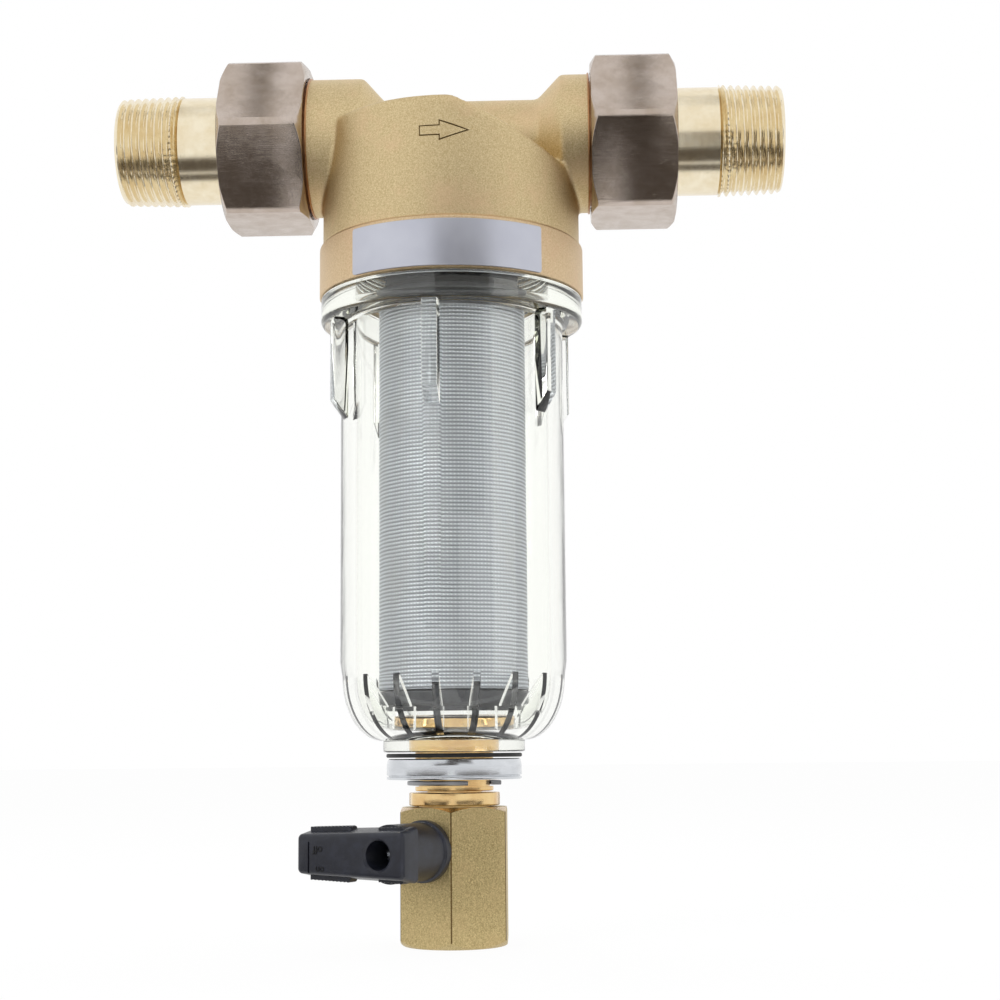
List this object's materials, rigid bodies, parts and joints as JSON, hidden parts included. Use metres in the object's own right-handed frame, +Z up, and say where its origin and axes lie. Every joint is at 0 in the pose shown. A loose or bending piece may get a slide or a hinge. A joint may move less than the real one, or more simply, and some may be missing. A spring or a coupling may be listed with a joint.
{
  "type": "rinsable water filter",
  "caption": "Rinsable fine filter for a water pipe: cast head with union tailpieces, clear screw-on bowl with a mesh insert, and a lever drain valve below.",
  "frame": {"origin": "where the pipe axis meets the bowl axis, inside the head", "axes": "+X along the pipe from inlet to outlet, +Z up along the bowl axis, -Y towards the label"},
  "size_m": [0.158, 0.0633, 0.2065],
  "materials": {
    "cast_brass": "sand cast, matte",
    "rough_brass": "pressed, rough satin",
    "polished_brass": "turned and polished",
    "dark_brass": "pressed, oxidised brown",
    "label_foil": "satin foil",
    "clear_plastic": "clear, glossy",
    "steel_mesh": "fine woven wire",
    "stainless": "bright turned",
    "dark_plastic": "moulded",
    "black_plastic": "moulded, fine grain",
    "white_plastic": "smooth",
    "rubber": "moulded",
    "fibre": "pressed fibre"
  },
  "bodies": {
    "head": {"housing": "cast_brass", "rating_label": "label_foil"},
    "inlet_tail": {"inlet_nipple": "polished_brass", "inlet_gasket": "fibre"},
    "inlet_nut": {"inlet_union_nut": "dark_brass"},
    "outlet_tail": {"outlet_nipple": "polished_brass", "outlet_gasket": "fibre"},
    "outlet_nut": {"outlet_union_nut": "dark_brass"},
    "filter_insert": {"insert_collar": "dark_plastic", "insert_seal": "rubber", "support_cage": "dark_plastic", "screen_mesh": "steel_mesh", "insert_end_cap": "dark_plastic"},
    "bowl_unit": {"bowl": "clear_plastic", "bowl_oring": "rubber", "drain_bush": "polished_brass", "bush_oring": "rubber", "drain_washer": "rubber", "steel_ring": "stainless", "retaining_ring": "stainless", "valve_end_piece": "polished_brass", "valve_body": "rough_brass", "upper_seat": "white_plastic", "lower_seat": "white_plastic"},
    "valve_lever": {"valve_ball": "stainless", "valve_stem": "stainless", "stem_oring": "rubber", "lever": "black_plastic", "handle_screw": "stainless"}
  },
  "joints": [
    {"name": "inlet_tail_slide", "type": "slide", "parent": "head", "child": "inlet_tail", "axis": [-1, 0, 0], "range_m": [0, 0.00924]},
    {"name": "inlet_nut_turn", "type": "hinge", "parent": "inlet_tail", "child": "inlet_nut", "pos_m": [0, 0, 0], "axis": [-1, 0, 0], "range_deg": [0, 1440]},
    {"name": "outlet_tail_slide", "type": "slide", "parent": "head", "child": "outlet_tail", "axis": [1, 0, 0], "range_m": [0, 0.00924]},
    {"name": "outlet_nut_turn", "type": "hinge", "parent": "outlet_tail", "child": "outlet_nut", "pos_m": [0, 0, 0], "axis": [1, 0, 0], "range_deg": [0, 1440]},
    {"name": "insert_slide", "type": "slide", "parent": "head", "child": "filter_insert", "axis": [0, 0, -1], "range_m": [0, 0.012]},
    {"name": "bowl_turn", "type": "hinge", "parent": "filter_insert", "child": "bowl_unit", "pos_m": [0, 0, 0], "axis": [0, 0, -1], "range_deg": [0, 1440]},
    {"name": "lever_turn", "type": "hinge", "parent": "bowl_unit", "child": "valve_lever", "pos_m": [0, 0, -0.1665], "axis": [-0.5, -0.866, 0], "range_deg": [0, 90]}
  ],
  "couplings": [
    {"joint": "inlet_tail_slide", "follows": "inlet_nut_turn", "m_per_rad": 0.00036749},
    {"joint": "outlet_tail_slide", "follows": "outlet_nut_turn", "m_per_rad": 0.00036749},
    {"joint": "insert_slide", "follows": "bowl_turn", "m_per_rad": 0.00047746}
  ]
}
